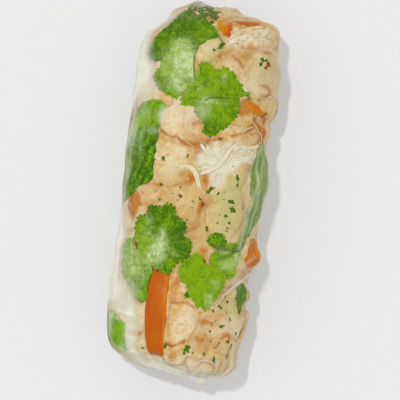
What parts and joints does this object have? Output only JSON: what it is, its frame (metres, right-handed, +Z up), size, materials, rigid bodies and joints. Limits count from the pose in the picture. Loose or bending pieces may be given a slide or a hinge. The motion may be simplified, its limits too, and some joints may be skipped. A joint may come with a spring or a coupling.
{
  "type": "rice paper roll",
  "caption": "Fresh rice paper roll of shredded chicken, carrot, coriander and mint under a thin translucent sheet, lying on its flattened underside.",
  "frame": {"origin": "middle of the flattened underside, on the surface that the roll rests on", "axes": "+Y along the roll, towards the end with the overlapping coriander leaves; +X to the right side, where the spring onion blade lies; +Z up"},
  "size_m": [0.0492, 0.13, 0.0384],
  "materials": {
    "rice_paper": "wet, translucent and slightly milky",
    "chicken": "moist cooked meat, shredded along its grain",
    "carrot": "raw, freshly cut and moist",
    "coriander": "fresh leaf, pressed flat under wet film",
    "mint": "fresh leaf, pressed flat under wet film",
    "spring_onion": "pale fresh blade under wet film"
  },
  "bodies": {
    "root": {"carrot_baton": "carrot", "carrot_peg": "carrot", "carrot_shred_1": "carrot", "carrot_shred_2": "carrot", "carrot_shred_3": "carrot", "chicken_01": "chicken", "chicken_02": "chicken", "chicken_03": "chicken", "chicken_04": "chicken", "chicken_05": "chicken", "chicken_06": "chicken", "chicken_07": "chicken", "chicken_08": "chicken", "chicken_09": "chicken", "chicken_10": "chicken", "chicken_11": "chicken", "chicken_12": "chicken", "chicken_13": "chicken", "chicken_14": "chicken", "chicken_15": "chicken", "chicken_16": "chicken", "chicken_17": "chicken", "chicken_18": "chicken", "chicken_19": "chicken", "chicken_20": "chicken", "chicken_21": "chicken", "chicken_22": "chicken", "chicken_23": "chicken", "chicken_24": "chicken", "chicken_25": "chicken", "chicken_26": "chicken", "chicken_27": "chicken", "coriander_lower_1": "coriander", "coriander_lower_2": "coriander", "coriander_lower_3": "coriander", "coriander_lower_4": "coriander", "coriander_lower_5": "coriander", "coriander_upper_1": "coriander", "coriander_upper_2": "coriander", "coriander_upper_3": "coriander", "coriander_upper_4": "coriander", "filling_core": "chicken", "mint_leaf_1": "mint", "mint_leaf_2": "mint", "spring_onion_1": "spring_onion", "spring_onion_2": "spring_onion", "wrapper": "rice_paper"}
  },
  "joints": []
}
